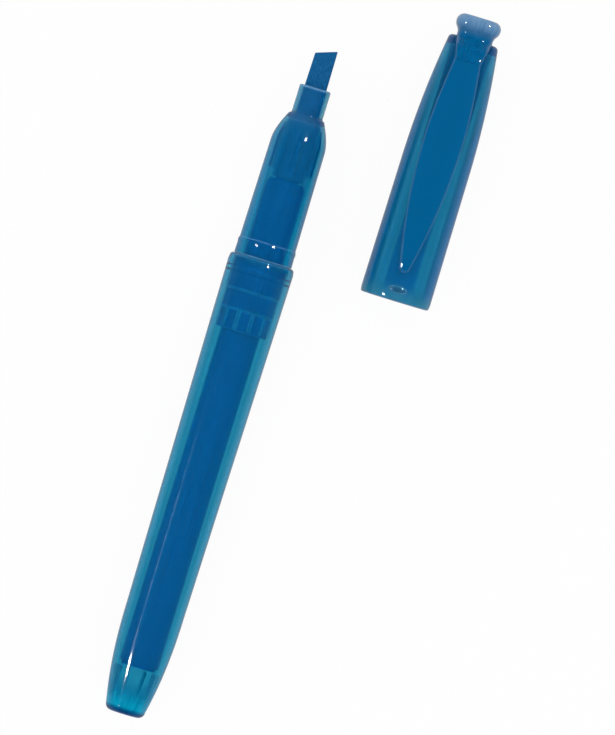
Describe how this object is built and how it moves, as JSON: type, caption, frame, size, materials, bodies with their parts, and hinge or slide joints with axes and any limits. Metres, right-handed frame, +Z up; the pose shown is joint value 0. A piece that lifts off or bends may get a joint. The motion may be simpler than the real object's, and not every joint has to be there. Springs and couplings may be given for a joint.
{
  "type": "capped highlighter",
  "caption": "Slim translucent highlighter with a slanted chisel felt nib, lying beside its pulled-off cap with a long leaf-shaped clip and a flared head.",
  "frame": {"origin": "on the surface that pen and cap lie on, under the middle of the pair's outline", "axes": "+Y along the pen's and the cap's axes towards the nib and the cap's closed end, +X from the pen to the cap, +Z up through the clip"},
  "size_m": [0.0376, 0.1398, 0.0153],
  "materials": {
    "barrel": "clear blue moulded plastic, glossy",
    "nose_section": "clear blue moulded plastic, glossy",
    "nib": "pressed felt soaked with blue ink, matt",
    "ink_reservoir": "fibre bundle soaked with blue ink, matt",
    "reservoir_film": "thin clear wrap film",
    "cap": "clear blue moulded plastic, glossy",
    "seal_sleeve": "clear blue moulded plastic",
    "clip": "clear blue moulded plastic, glossy"
  },
  "bodies": {
    "pen": {"barrel": "barrel", "nose_section": "nose_section", "nib": "nib", "ink_reservoir": "ink_reservoir", "reservoir_film": "reservoir_film"},
    "cap": {"cap_shell": "cap", "inner_seal_sleeve": "seal_sleeve"},
    "clip": {"clip_arm": "clip"}
  },
  "joints": [
    {"name": "cap_pull", "type": "slide", "parent": "pen", "child": "cap", "axis": [0, 1, 0], "range_m": [0, 0.042]},
    {"name": "clip_flex", "type": "hinge", "parent": "cap", "child": "clip", "pos_m": [0.01231, 0.06161, 0.01469], "axis": [-1, 0, 0], "range_deg": [0, 4], "stiffness_Nm_per_rad": 1}
  ]
}
